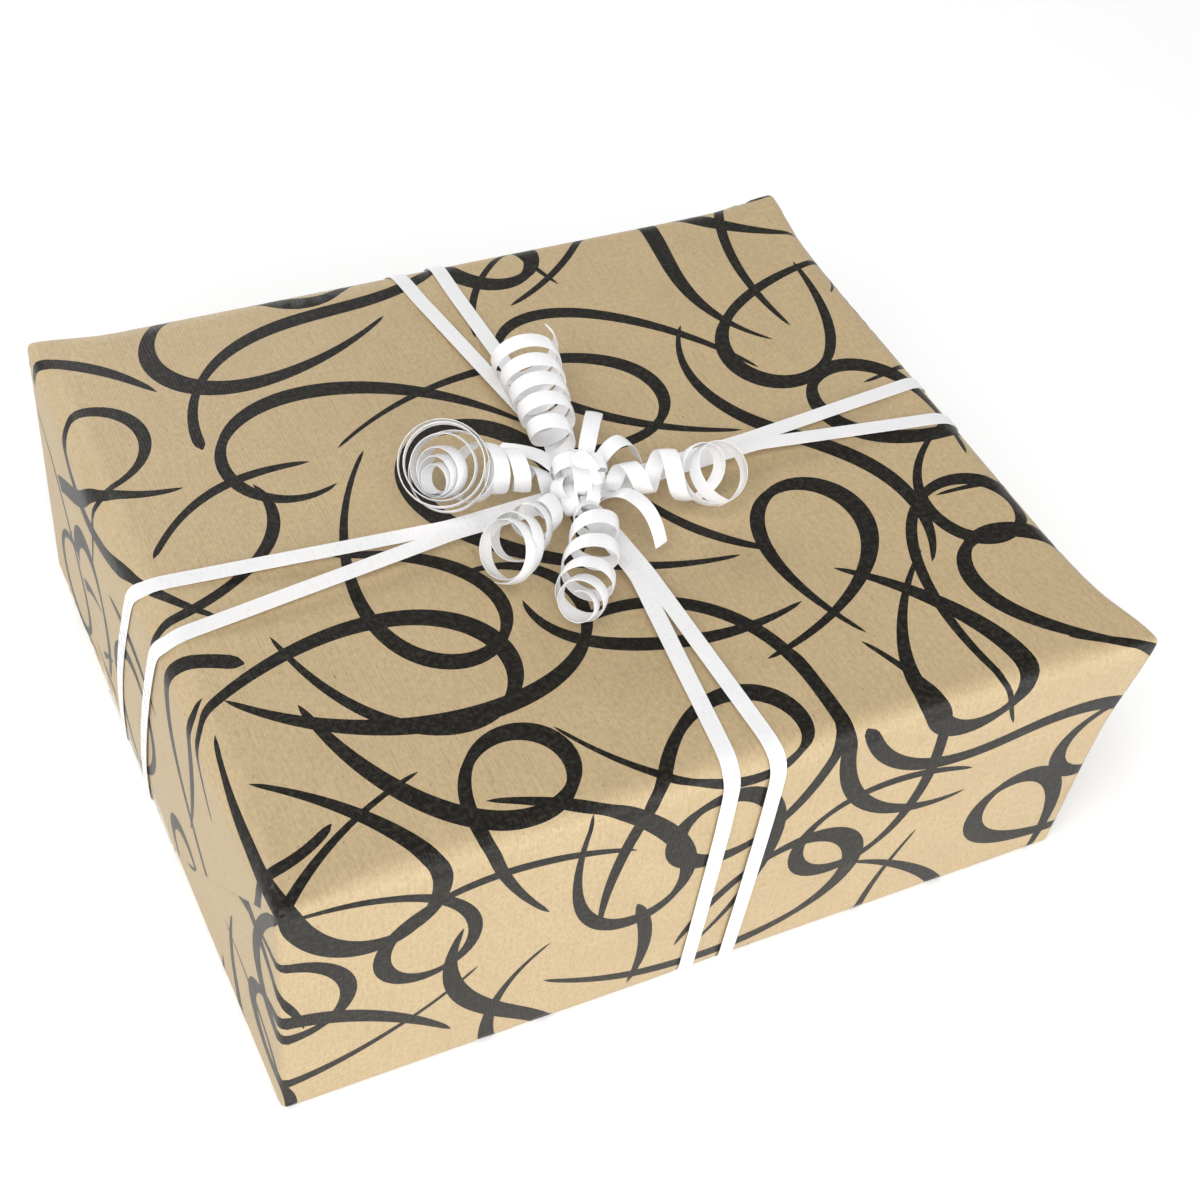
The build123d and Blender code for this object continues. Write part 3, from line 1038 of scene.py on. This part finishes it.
# ---------------------------------------------------------------- tails
# Stations along each curl: the place of its axis in millimetres over the paper, the curl's radius,
# the turns so far and the way the axis points.
CURLS = {
    "tail_back": {
        "hand": -1, "phase": 0.25,
        "stations": [
            ((-5.0, -3.0, 7.2), 0.3, 0.0, (0.1, 0.95, 0.3)),
            ((-3.5, 3.6, 9.8), 3.3, 0.45, (0.1, 0.95, 0.3)),
            ((-1.5, 11.0, 12.6), 7.2, 1.1, (0.12, 0.97, 0.2)),
            ((-0.2, 20.0, 13.4), 8.4, 2.3, (0.12, 0.98, 0.15)),
            ((1.2, 29.0, 14.2), 9.4, 3.6, (0.12, 0.98, 0.12)),
            ((2.4, 38.0, 15.0), 10.4, 4.9, (0.12, 0.98, 0.12)),
            ((3.4, 45.0, 15.8), 11.0, 5.9, (0.12, 0.98, 0.12)),
        ],
    },
    "tail_left": {
        "hand": 1, "phase": 0.0,
        "stations": [
            ((-9.5, -6.0, 7.2), 0.3, 0.0, (-0.9, 0.3, 0.3)),
            ((-13.5, -3.5, 10.0), 3.5, 0.4, (-0.9, 0.3, 0.3)),
            ((-19.0, -1.0, 12.6), 6.2, 1.1, (-0.95, 0.15, 0.1)),
            ((-27.0, 0.8, 14.0), 7.6, 2.2, (-0.9, 0.0, 0.3)),
            ((-33.5, 2.2, 14.6), 10.0, 3.0, (-0.55, -0.45, 0.7)),
            ((-39.0, 3.6, 16.2), 13.4, 3.9, (-0.34, -0.55, 0.76)),
            ((-40.2, 2.6, 18.6), 12.6, 4.9, (-0.34, -0.55, 0.76)),
            ((-40.2, 3.0, 18.0), 10.6, 5.9, (-0.42, -0.55, 0.72)),
            ((-40.8, 2.6, 16.6), 8.2, 6.9, (-0.75, -0.42, 0.50)),
            ((-41.0, 2.2, 15.6), 6.6, 7.9, (-0.86, -0.34, 0.38)),
            ((-41.6, 1.8, 14.4), 5.6, 8.9, (-0.86, -0.34, 0.38)),
            ((-42.2, 1.6, 13.8), 3.6, 9.9, (-0.80, -0.38, 0.46)),
        ],
    },
    "tail_right": {
        "hand": 1, "phase": 0.5,
        "stations": [
            ((3.5, -10.0, 7.2), 0.3, 0.0, (0.9, -0.3, 0.3)),
            ((9.0, -11.5, 10.0), 3.5, 0.45, (0.9, -0.25, 0.2)),
            ((16.0, -13.5, 12.4), 6.0, 1.1, (0.9, -0.3, 0.1)),
            ((25.0, -16.5, 12.4), 7.6, 1.9, (0.85, -0.45, 0.2)),
            ((32.0, -19.0, 12.4), 9.0, 2.6, (0.1, -0.65, 0.72)),
            ((36.0, -20.5, 12.2), 9.8, 3.5, (0.0, -0.6, 0.8)),
            ((38.5, -20.5, 11.8), 9.8, 4.1, (0.4, -0.5, 0.76)),
        ],
    },
    "tail_front_left": {
        "hand": -1, "phase": 0.3,
        "stations": [
            ((-9.5, -12.0, 7.2), 0.3, 0.0, (-0.8, -0.5, 0.3)),
            ((-13.0, -15.0, 10.2), 3.0, 0.45, (-0.8, -0.5, 0.25)),
            ((-17.5, -18.8, 12.2), 4.8, 1.1, (-0.85, -0.45, 0.1)),
            ((-25.0, -23.0, 12.6), 7.2, 2.1, (-0.6, -0.5, 0.55)),
            ((-30.5, -27.0, 12.2), 8.8, 3.0, (-0.80, -0.25, 0.55)),
            ((-33.5, -29.4, 12.4), 9.4, 3.8, (-0.84, -0.20, 0.50)),
            ((-34.5, -30.4, 12.4), 8.4, 4.5, (-0.84, -0.20, 0.50)),
        ],
    },
    "tail_front": {
        "hand": 1, "phase": 0.75,
        "stations": [
            ((-4.0, -15.0, 7.2), 0.3, 0.0, (-0.4, -0.85, 0.3)),
            ((-4.8, -20.0, 10.2), 3.6, 0.45, (-0.4, -0.85, 0.25)),
            ((-6.5, -27.5, 12.6), 6.6, 1.1, (-0.45, -0.88, 0.05)),
            ((-11.0, -36.0, 12.2), 7.6, 2.1, (-0.45, -0.88, -0.05)),
            ((-16.5, -44.0, 11.4), 8.2, 3.1, (-0.55, -0.80, 0.12)),
            ((-20.5, -49.5, 10.8), 7.6, 4.0, (-0.65, -0.70, 0.25)),
            ((-22.0, -51.5, 10.4), 6.0, 4.9, (-0.70, -0.58, 0.42)),
            ((-22.5, -52.5, 10.0), 4.2, 5.6, (-0.62, -0.52, 0.58)),
        ],
    },
}
POINTS_A_TURN = 14

# Short cut tails: the points of their line in millimetres over the paper
CUT_TAILS = {
    "cut_tail_back": [
        (2.0, -3.0, 7.4), (3.6, -0.5, 13.0), (7.0, 4.5, 17.0),
        (11.0, 10.5, 16.8), (14.2, 15.3, 12.5), (15.6, 17.5, 7.5),
    ],
    "cut_tail_right": [
        (3.5, -6.0, 7.4), (5.0, -5.6, 13.4), (8.5, -5.0, 18.0),
        (13.0, -4.0, 18.6), (17.4, -3.0, 14.6), (20.5, -2.4, 7.0),
    ],
    "cut_tail_front": [
        (2.0, -15.0, 7.2), (3.5, -18.0, 13.0), (6.0, -23.0, 16.5),
        (9.0, -29.0, 15.5), (11.0, -33.5, 10.5), (11.8, -35.5, 5.5),
    ],
}


def between(stations, s):
    """The axis place, radius, turns and axis direction at s, from 0 at the first station to 1 at the last."""
    position = s * (len(stations) - 1)
    k = min(int(position), len(stations) - 2)
    t = position - k
    around = [stations[min(max(j, 0), len(stations) - 1)] for j in (k - 1, k, k + 1, k + 2)]
    rows = np.array([[*place, radius, turns, *axis] for place, radius, turns, axis in around])
    a, b, c, d = rows
    mixed = 0.5 * (2 * b + (c - a) * t + (2 * a - 5 * b + 4 * c - d) * t * t + (3 * b - a - 3 * c + d) * t**3)
    return mixed


def curl_route(curl):
    """Control points of a curled tail's line, and the way the ribbon faces at each."""
    stations = curl["stations"]
    total = stations[-1][2]
    count = int(total * POINTS_A_TURN)
    route, facings = [], []
    for k in range(count + 1):
        row = between(stations, k / count)
        axis = Vector(row[5:8]).normalized()
        level = Vector((0, 0, 1)).cross(axis).normalized()
        upward = axis.cross(level)
        angle = 2 * math.pi * (curl["phase"] + curl["hand"] * row[4])
        radial = level * math.cos(angle) + upward * math.sin(angle)
        route.append(millimetres(*row[:3]) + radial * row[3] * MM)
        facings.append(radial)
    return route, facings


def nurbs_points(route):
    """Points along the smooth line that a route's control points make."""
    curve = bpy.data.curves.new("route", "CURVE")
    curve.dimensions = "3D"
    curve.resolution_u = 4
    spline = curve.splines.new("NURBS")
    spline.points.add(len(route) - 1)
    for point, place in zip(spline.points, route):
        point.co = (*place, 1.0)
    spline.order_u = 3
    spline.use_endpoint_u = True
    obj = bpy.data.objects.new("route", curve)
    bpy.context.collection.objects.link(obj)
    mesh = bpy.data.meshes.new_from_object(obj)
    points = [vertex.co.copy() for vertex in mesh.vertices]
    bpy.data.objects.remove(obj)
    bpy.data.curves.remove(curve)
    bpy.data.meshes.remove(mesh)
    return points


def spread(vectors, count):
    """The vectors stretched over count places, one after the other."""
    result = []
    for k in range(count):
        position = k / (count - 1) * (len(vectors) - 1)
        j = min(int(position), len(vectors) - 2)
        result.append(vectors[j].lerp(vectors[j + 1], position - j).normalized())
    return result


def line_length(points):
    """Length of a line through the points."""
    return sum((b - a).length for a, b in zip(points, points[1:]))


def tail(name, route, facings, ribbon, film, cup, pointed):
    """One tail: a strip along its line, narrow at the knot."""
    points = nurbs_points(route)
    count = len(points)
    length = line_length(points)
    pinch = [0.45 + 0.55 * smooth(k / count * length, 0.0, 6 * MM) for k in range(count)]
    cut = [1.0] * count
    if pointed:
        cut = [0.06 + 0.94 * min(1.0, (1 - k / (count - 1)) * length / (7 * MM)) for k in range(count)]
    breadths = [a * b for a, b in zip(pinch, cut)]
    obj = strip(
        name + "_ribbon", points, spread(facings, count), ribbon.width, ribbon.thickness, film,
        cup=cup, rows=5, breadths=breadths,
    )
    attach(obj, name)
    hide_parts(name)
    tuple(points[0])
    line_length(points)
    [tuple(p) for p in points]


def build_tails(scene):
    """The curled tails and the short cut ones."""
    ribbon = scene.gift_ribbon
    film = ribbon_film(ribbon)
    for name, curl in CURLS.items():
        route, facings = curl_route(curl)
        tail(name, route, facings, ribbon, film, -0.25 * MM, name == "tail_back")
    for name, line in CUT_TAILS.items():
        route = [millimetres(*place) for place in line]
        tail(name, route, [Vector((0, 0, 1))] * len(route), ribbon, film, -0.2 * MM, False)


# ---------------------------------------------------------------- knot
# Small fixed loops of the bow: which way each goes out from the knot in degrees, how far in
# millimetres, its radius, its height over the paper and how far it leans over
KNOT_LOOPS = (
    (128, 5.2, 4.6, 12.8, 25), (50, 3.4, 4.0, 15.2, -30), (-33, 5.0, 4.4, 12.6, 40),
    (-85, 2.6, 3.8, 13.8, 10), (-140, 2.6, 3.8, 12.6, -25), (178, 2.6, 3.8, 14.6, 35),
    (5, 3.0, 4.2, 15.6, -50), (-115, 1.6, 4.6, 16.6, 60), (90, 1.2, 4.4, 17.4, -20),
    (-10, 1.6, 4.0, 17.0, 70), (-82, 5.0, 4.8, 15.6, 5), (165, 5.0, 4.4, 16.4, -15),
    (-8, 5.2, 4.6, 16.4, 15), (-122, 10.5, 5.0, 11.6, 18), (-98, 9.0, 4.8, 13.0, -35),
    (-142, 9.0, 4.4, 13.6, 45), (-110, 7.0, 4.4, 16.2, -5),
)
# Which way each band pulled tight round the knot runs, in radians
KNOT_BANDS = (0.15, 1.65, 0.9)
# A short square-cut end fixed in the knot, from the middle out, in millimetres over the paper
KNOT_STRIPS = (
    [(-3, -9, 9.0), (-7.0, -4.0, 13.0), (-12.0, 3.5, 15.0), (-18.5, 11.5, 11.0)],
)


def build_knot(scene):
    """Bands pulled tight round the strands, with small loops and short ends standing out of them."""
    ribbon = scene.gift_ribbon
    film = ribbon_film(ribbon)
    centre = (KNOT_LOW + KNOT_HIGH) / 2
    high = (KNOT_HIGH.z - TOP) / MM
    upward = Vector((0, 0, 1))
    pieces = []
    for number, angle in enumerate(KNOT_BANDS):
        along = Vector((math.cos(angle), math.sin(angle), 0))
        side = Vector((-along.y, along.x, 0))
        rings = 28
        points, facings = [], []
        for k in range(rings + 1):
            turn = 2 * math.pi * k / rings
            out = along * math.cos(turn) * (4.6 - 0.5 * number) * MM
            rise = upward * math.sin(turn) * (2.4 + 0.25 * number) * MM
            skew = side * math.sin(turn) * 1.1 * MM
            points.append(Vector((centre.x, centre.y, TOP + (high - 3.6) * MM)) + out + rise + skew)
            facings.append((along * math.cos(turn) + upward * math.sin(turn)).normalized())
        pieces.append(strip(
            f"wrap_{number}", points, facings, ribbon.width * 0.95, ribbon.thickness, film,
            cup=-0.5 * MM, rows=5,
        ))
    for number, (heading, reach, radius, over, lean) in enumerate(KNOT_LOOPS):
        out = Vector((math.cos(math.radians(heading)), math.sin(math.radians(heading)), 0))
        tilt = Matrix.Rotation(math.radians(lean), 3, out)
        up = tilt @ upward
        axis = out.cross(up)
        middle = Vector((centre.x, centre.y, TOP + over * MM)) + out * (reach - radius * 0.4) * MM
        points, facings = [], []
        for k in range(31):
            share = k / 30
            turn = math.radians(215 + 330 * share)
            radial = out * math.cos(turn) + up * math.sin(turn) * 0.82
            points.append(middle + radial * radius * MM + axis * (share - 0.5) * 3.4 * MM)
            facings.append(radial.normalized())
        pieces.append(strip(
            f"loop_{number}", points, facings, ribbon.width, ribbon.thickness, film, cup=-0.2 * MM, rows=5,
        ))
    for number, line in enumerate(KNOT_STRIPS):
        points = nurbs_points([millimetres(*place) for place in line])
        pieces.append(strip(
            f"end_{number}", points, [upward] * len(points), ribbon.width, ribbon.thickness, film,
            cup=-0.2 * MM, rows=5,
        ))
    obj = joined("bow_knot", pieces)
    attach(obj, "parcel")
    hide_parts("knot")


# ---------------------------------------------------------------- stage
def area_light(name, place, aim, size, power):
    """A soft white light at a place, aimed at another."""
    data = bpy.data.lights.new(name, "AREA")
    data.shape = "RECTANGLE"
    data.size, data.size_y = size
    data.energy = power
    obj = bpy.data.objects.new(name, data)
    obj.location = place
    obj.rotation_euler = (Vector(aim) - Vector(place)).to_track_quat("-Z", "Y").to_euler()
    bpy.context.collection.objects.link(obj)


def build_stage(scene):
    """The camera, the pale floor, the studio's glow and the soft lights."""
    stage = scene.gift_stage
    scene.view_settings.view_transform = "Standard"
    data = bpy.data.cameras.new("camera")
    data.sensor_width = 36.0
    data.lens = stage.focal_length
    data.shift_x = 0.0333
    data.shift_y = 0.10
    camera = bpy.data.objects.new("camera", data)
    right = Vector((0.9013, -0.4215, 0.1002))
    down = Vector((-0.2658, -0.7205, -0.6405))
    forward = Vector((0.3421, 0.5506, -0.7614))
    turn = Matrix((right, -down, -forward)).transposed()
    camera.matrix_world = Matrix.Translation((-0.2114, -0.3552, 0.4768)) @ turn.to_4x4()
    bpy.context.collection.objects.link(camera)
    scene.camera = camera
    mesh = bpy.data.meshes.new("floor")
    reach = stage.floor_size / 2
    corners = [(-reach, -reach, 0), (reach, -reach, 0), (reach, reach, 0), (-reach, reach, 0)]
    mesh.from_pydata(corners, [], [(0, 1, 2, 3)])
    floor = new_piece("floor", mesh, [floor_material()])
    # White below and near the horizon, so that the floor runs into it, and dimmer overhead
    world = bpy.data.worlds.new("studio")
    world.use_nodes = True
    nodes, links = world.node_tree.nodes, world.node_tree.links
    heading = nodes.new("ShaderNodeTexCoord")
    parts = nodes.new("ShaderNodeSeparateXYZ")
    links.new(heading.outputs["Generated"], parts.inputs[0])
    rise = nodes.new("ShaderNodeMapRange")
    for key, number in (("From Min", 0.22), ("From Max", 0.52), ("To Min", 1.0), ("To Max", 0.14)):
        rise.inputs[key].default_value = number
    links.new(parts.outputs["Z"], rise.inputs["Value"])
    links.new(rise.outputs["Result"], nodes["Background"].inputs["Strength"])
    nodes["Background"].inputs["Color"].default_value = (1.0, 1.0, 1.0, 1.0)
    scene.world = world
    area_light("overhead", (-1.1, -1.35, 2.15), (0, 0.1, 0), (2.6, 2.6), 88)
    area_light("front_fill", (0.5, -1.5, 0.45), (0, 0, 0.02), (2.0, 0.7), 12)
    area_light("back_floor", (-0.3, 2.3, 1.0), (0.2, 0.9, 0), (1.6, 1.0), 30)


def carton_half(name, node, low, high, open_above, board):
    """One open half of the carton, as a rounded box with a wall of board."""
    mesh = bpy.data.meshes.new(name)
    corners = [(x, y, z) for x in (low.x, high.x) for y in (low.y, high.y) for z in (low.z, high.z)]
    sides = [(0, 1, 3, 2), (4, 6, 7, 5), (0, 4, 5, 1), (2, 3, 7, 6)]
    sides.append((0, 2, 6, 4) if open_above else (1, 5, 7, 3))
    mesh.from_pydata(corners, [], sides)
    obj = new_piece(name, mesh, [board])
    round_over = obj.modifiers.new("rounded", "BEVEL")
    round_over.width = 6.5 * MM if not open_above else 3 * MM
    round_over.segments = 5
    wall = obj.modifiers.new("wall", "SOLIDIFY")
    wall.thickness = 1.5 * MM
    wall.offset = -1
    applied(obj)
    shade_smooth(obj)
    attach(obj, "parcel")
    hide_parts(node)


def build_carton(scene):
    """The carton, kept clear of the soft paper round it."""
    board = board_material()
    clear = Vector((1, 1, 1)) * 1.5 * MM
    low, high = PAPER_LOW + clear, PAPER_HIGH - clear
    lid_low = Vector((low.x, low.y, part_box("carton_lid")[0][2]))
    carton_half("lid", "carton_lid", lid_low, high, False, board)
    nest = Vector((2.2, 2.2, 0)) * MM
    tray_high = high - nest - Vector((0, 0, 5 * MM))
    carton_half("tray", "carton_tray", low + nest - Vector((0, 0, 0.6 * MM)), tray_high, True, board)


# ---------------------------------------------------------------- operators
class GIFTBOX_OT_stage(bpy.types.Operator):
    """Sets up the floor, the lights and the camera"""

    bl_idname = "giftbox.stage"
    bl_label = "Stage"

    def execute(self, context):
        build_stage(context.scene)
        return {"FINISHED"}


class GIFTBOX_OT_tails(bpy.types.Operator):
    """Makes the curled and the short cut ribbon tails"""

    bl_idname = "giftbox.tails"
    bl_label = "Ribbon Tails"

    def execute(self, context):
        build_tails(context.scene)
        return {"FINISHED"}


class GIFTBOX_OT_paper(bpy.types.Operator):
    """Folds the printed sheet round the parcel"""

    bl_idname = "giftbox.paper"
    bl_label = "Wrapping Paper"

    def execute(self, context):
        build_paper(context.scene)
        return {"FINISHED"}


class GIFTBOX_OT_tapes(bpy.types.Operator):
    """Lays the strips of clear tape"""

    bl_idname = "giftbox.tapes"
    bl_label = "Clear Tapes"

    def execute(self, context):
        build_tapes(context.scene)
        return {"FINISHED"}


class GIFTBOX_OT_strands(bpy.types.Operator):
    """Lays the taut strands of ribbon round the parcel"""

    bl_idname = "giftbox.strands"
    bl_label = "Ribbon Strands"

    def execute(self, context):
        build_strands(context.scene)
        return {"FINISHED"}


class GIFTBOX_OT_knot(bpy.types.Operator):
    """Makes the knot under the bow"""

    bl_idname = "giftbox.knot"
    bl_label = "Knot"

    def execute(self, context):
        build_knot(context.scene)
        return {"FINISHED"}


class GIFTBOX_OT_carton(bpy.types.Operator):
    """Makes the carton's tray and its lid"""

    bl_idname = "giftbox.carton"
    bl_label = "Carton"

    def execute(self, context):
        build_carton(context.scene)
        return {"FINISHED"}


OPERATORS = (
    GIFTBOX_OT_stage, GIFTBOX_OT_tails, GIFTBOX_OT_carton, GIFTBOX_OT_paper, GIFTBOX_OT_tapes,
    GIFTBOX_OT_strands, GIFTBOX_OT_knot,
)


class GIFTBOX_PT_panel(bpy.types.Panel):
    """The parcel's operators and sizes in the sidebar"""

    bl_label = "Gift Parcel"
    bl_idname = "GIFTBOX_PT_panel"
    bl_space_type = "VIEW_3D"
    bl_region_type = "UI"
    bl_category = "Gift Parcel"

    def draw(self, context):
        for operator in OPERATORS:
            self.layout.operator(operator.bl_idname)
        for name, group in SETTINGS:
            box = self.layout.box()
            for key in group.__annotations__:
                box.prop(getattr(context.scene, name), key)


def register():
    for name, group in SETTINGS:
        bpy.utils.register_class(group)
        setattr(bpy.types.Scene, name, PointerProperty(type=group))
    for operator in OPERATORS:
        bpy.utils.register_class(operator)
    bpy.utils.register_class(GIFTBOX_PT_panel)


def unregister():
    bpy.utils.unregister_class(GIFTBOX_PT_panel)
    for operator in reversed(OPERATORS):
        bpy.utils.unregister_class(operator)
    for name, group in reversed(SETTINGS):
        delattr(bpy.types.Scene, name)
        bpy.utils.unregister_class(group)


def main():
    register()
    bpy.ops.giftbox.stage()
    bpy.ops.giftbox.tails()
    bpy.ops.giftbox.carton()
    bpy.ops.giftbox.paper()
    bpy.ops.giftbox.tapes()
    bpy.ops.giftbox.strands()
    bpy.ops.giftbox.knot()


if __name__ == "__main__":
    main()
